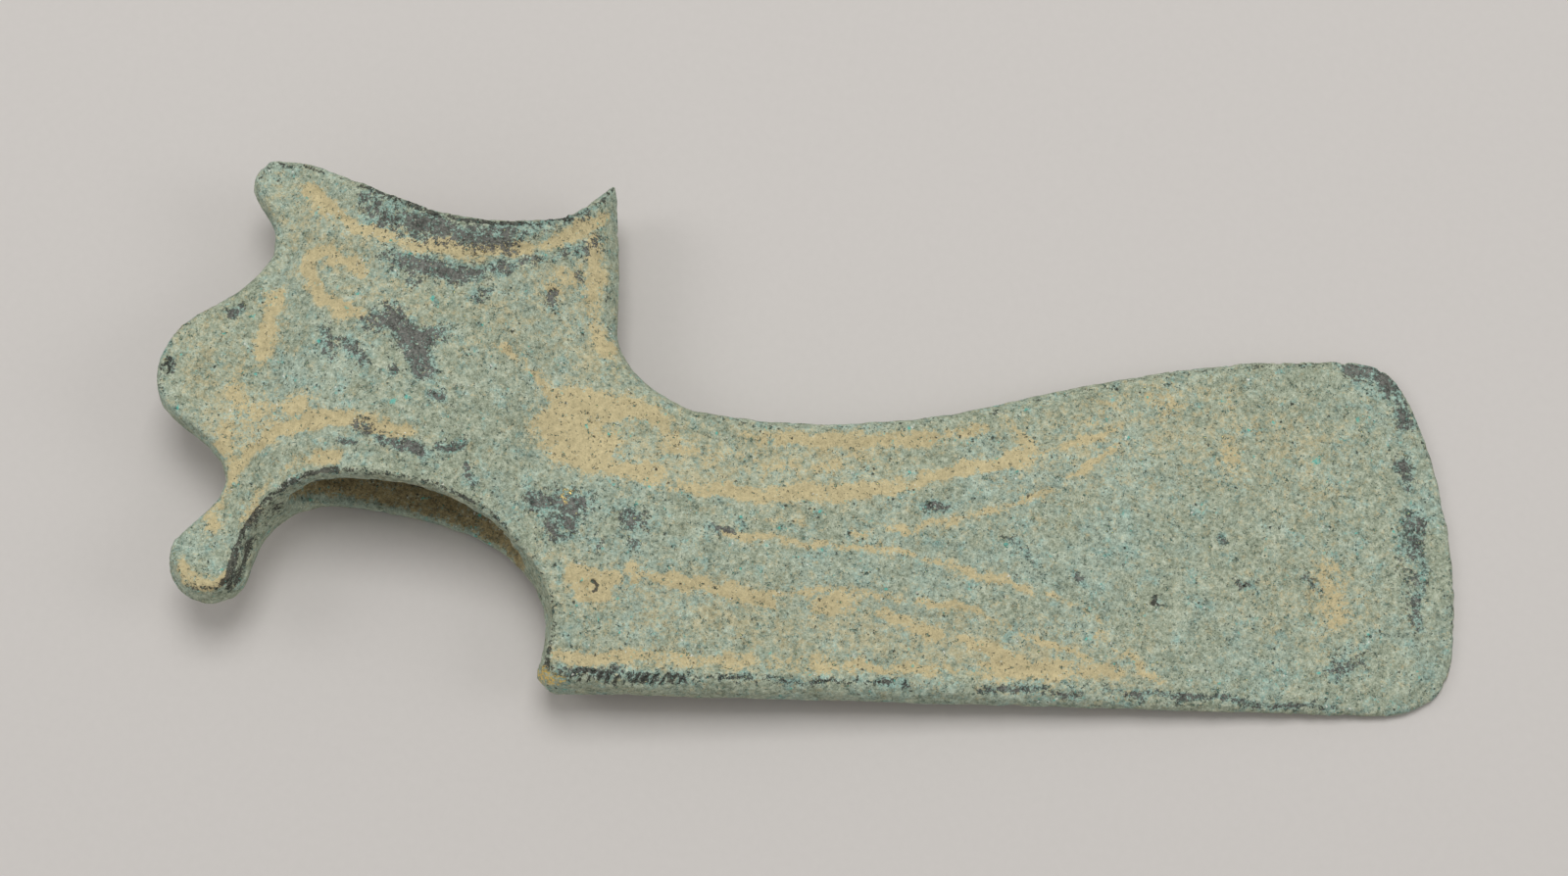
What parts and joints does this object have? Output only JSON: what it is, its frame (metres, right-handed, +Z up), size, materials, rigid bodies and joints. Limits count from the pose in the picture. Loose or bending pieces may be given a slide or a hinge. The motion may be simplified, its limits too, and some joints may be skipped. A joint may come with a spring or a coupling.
{
  "type": "bronze axe head",
  "caption": "Cast shaft-hole axe head with crescent-mouthed oval socket, lobed and lugged butt, and a long drooping blade with sunk panels and midrib.",
  "frame": {"origin": "centre of the bounding box, on the ground the axe head lies on", "axes": "+X from the butt to the cutting edge, +Y along the haft hole towards the horned mouth, +Z up through the cheeks"},
  "size_m": [0.1752, 0.069, 0.0193],
  "materials": {
    "patinated_bronze": "grey-green corrosion crust with tan burial earth in the grooves, dark bare patches on the ridges, fine turquoise specks and a few bright metal flecks; dull and finely pitted"
  },
  "bodies": {
    "root": {"axe_head": "patinated_bronze"}
  },
  "joints": []
}
